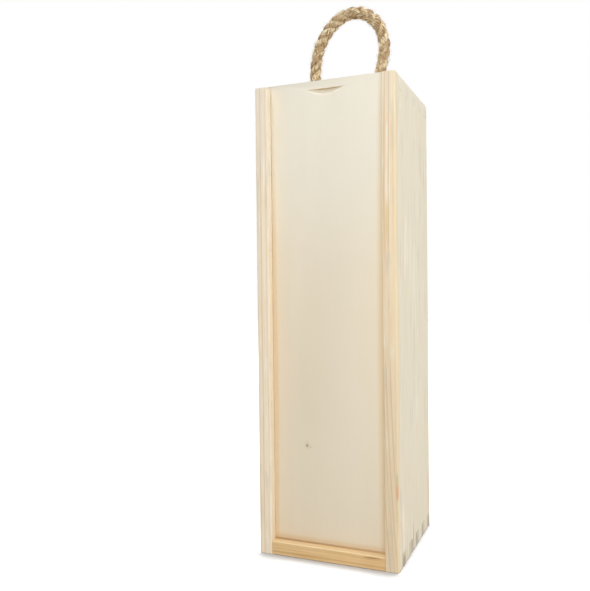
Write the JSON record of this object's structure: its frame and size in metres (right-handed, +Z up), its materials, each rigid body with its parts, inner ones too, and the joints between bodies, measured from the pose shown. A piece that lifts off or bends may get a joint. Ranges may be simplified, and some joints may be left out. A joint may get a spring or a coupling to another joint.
{
  "type": "wooden wine box",
  "caption": "Tall narrow wooden bottle box with finger-jointed corners, a front lid that slides up in grooves, and a knotted rope carrying handle.",
  "frame": {"origin": "centre of the base, on the surface that the box stands on", "axes": "+Z up along the bottle, -Y out through the face of the sliding lid, +X to the right of somebody who looks at the lid"},
  "size_m": [0.104, 0.104, 0.4109],
  "materials": {
    "pine_board": "bare sanded pine, satin, with fine straight grain along the board",
    "honey_board": "bare sanded pine of a warmer honey colour, satin",
    "lid_board": "bare sanded pale wood, satin, nearly plain",
    "jute_rope": "matt twisted jute with loose fibres"
  },
  "bodies": {
    "box": {"left_side": "pine_board", "right_side": "pine_board", "bottom_board": "honey_board", "top_board": "pine_board", "back_panel": "lid_board", "rope_handle": "jute_rope", "rope_knot_left": "jute_rope", "rope_knot_right": "jute_rope"},
    "lid": {"sliding_lid": "lid_board"}
  },
  "joints": [
    {"name": "lid_slide", "type": "slide", "parent": "box", "child": "lid", "axis": [0, 0, 1], "range_m": [0, 0.345]}
  ]
}
